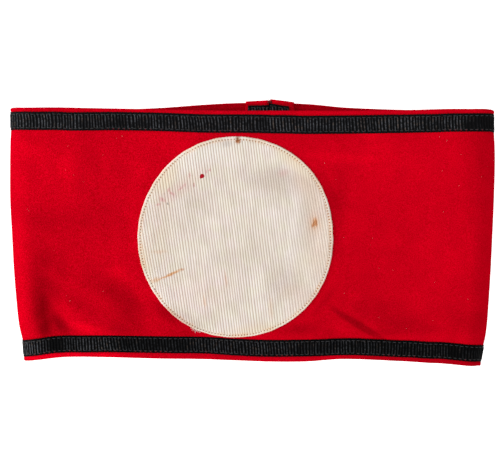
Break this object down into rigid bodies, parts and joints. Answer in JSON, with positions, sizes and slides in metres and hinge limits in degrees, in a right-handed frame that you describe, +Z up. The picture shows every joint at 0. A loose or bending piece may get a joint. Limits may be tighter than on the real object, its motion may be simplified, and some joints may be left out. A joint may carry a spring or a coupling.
{
  "type": "armband",
  "caption": "Flattened loop of red wool cloth with black ribbed ribbons along both edges and a bare round off-white patch, closed by a rear seam pressed open inside.",
  "frame": {"origin": "middle of the underside, on the surface that the band lies on", "axes": "+X along the band, +Y to its upper edge, +Z up through the front panel and its patch"},
  "size_m": [0.2086, 0.1162, 0.0151],
  "materials": {
    "wool_cloth": "felted red wool cloth",
    "ribbon": "black ribbed ribbon",
    "patch_cloth": "off-white fine ribbed cloth, aged"
  },
  "bodies": {
    "root": {"band": "wool_cloth", "ribbon_top": "ribbon", "ribbon_bottom": "ribbon", "disc": "patch_cloth"}
  },
  "joints": []
}
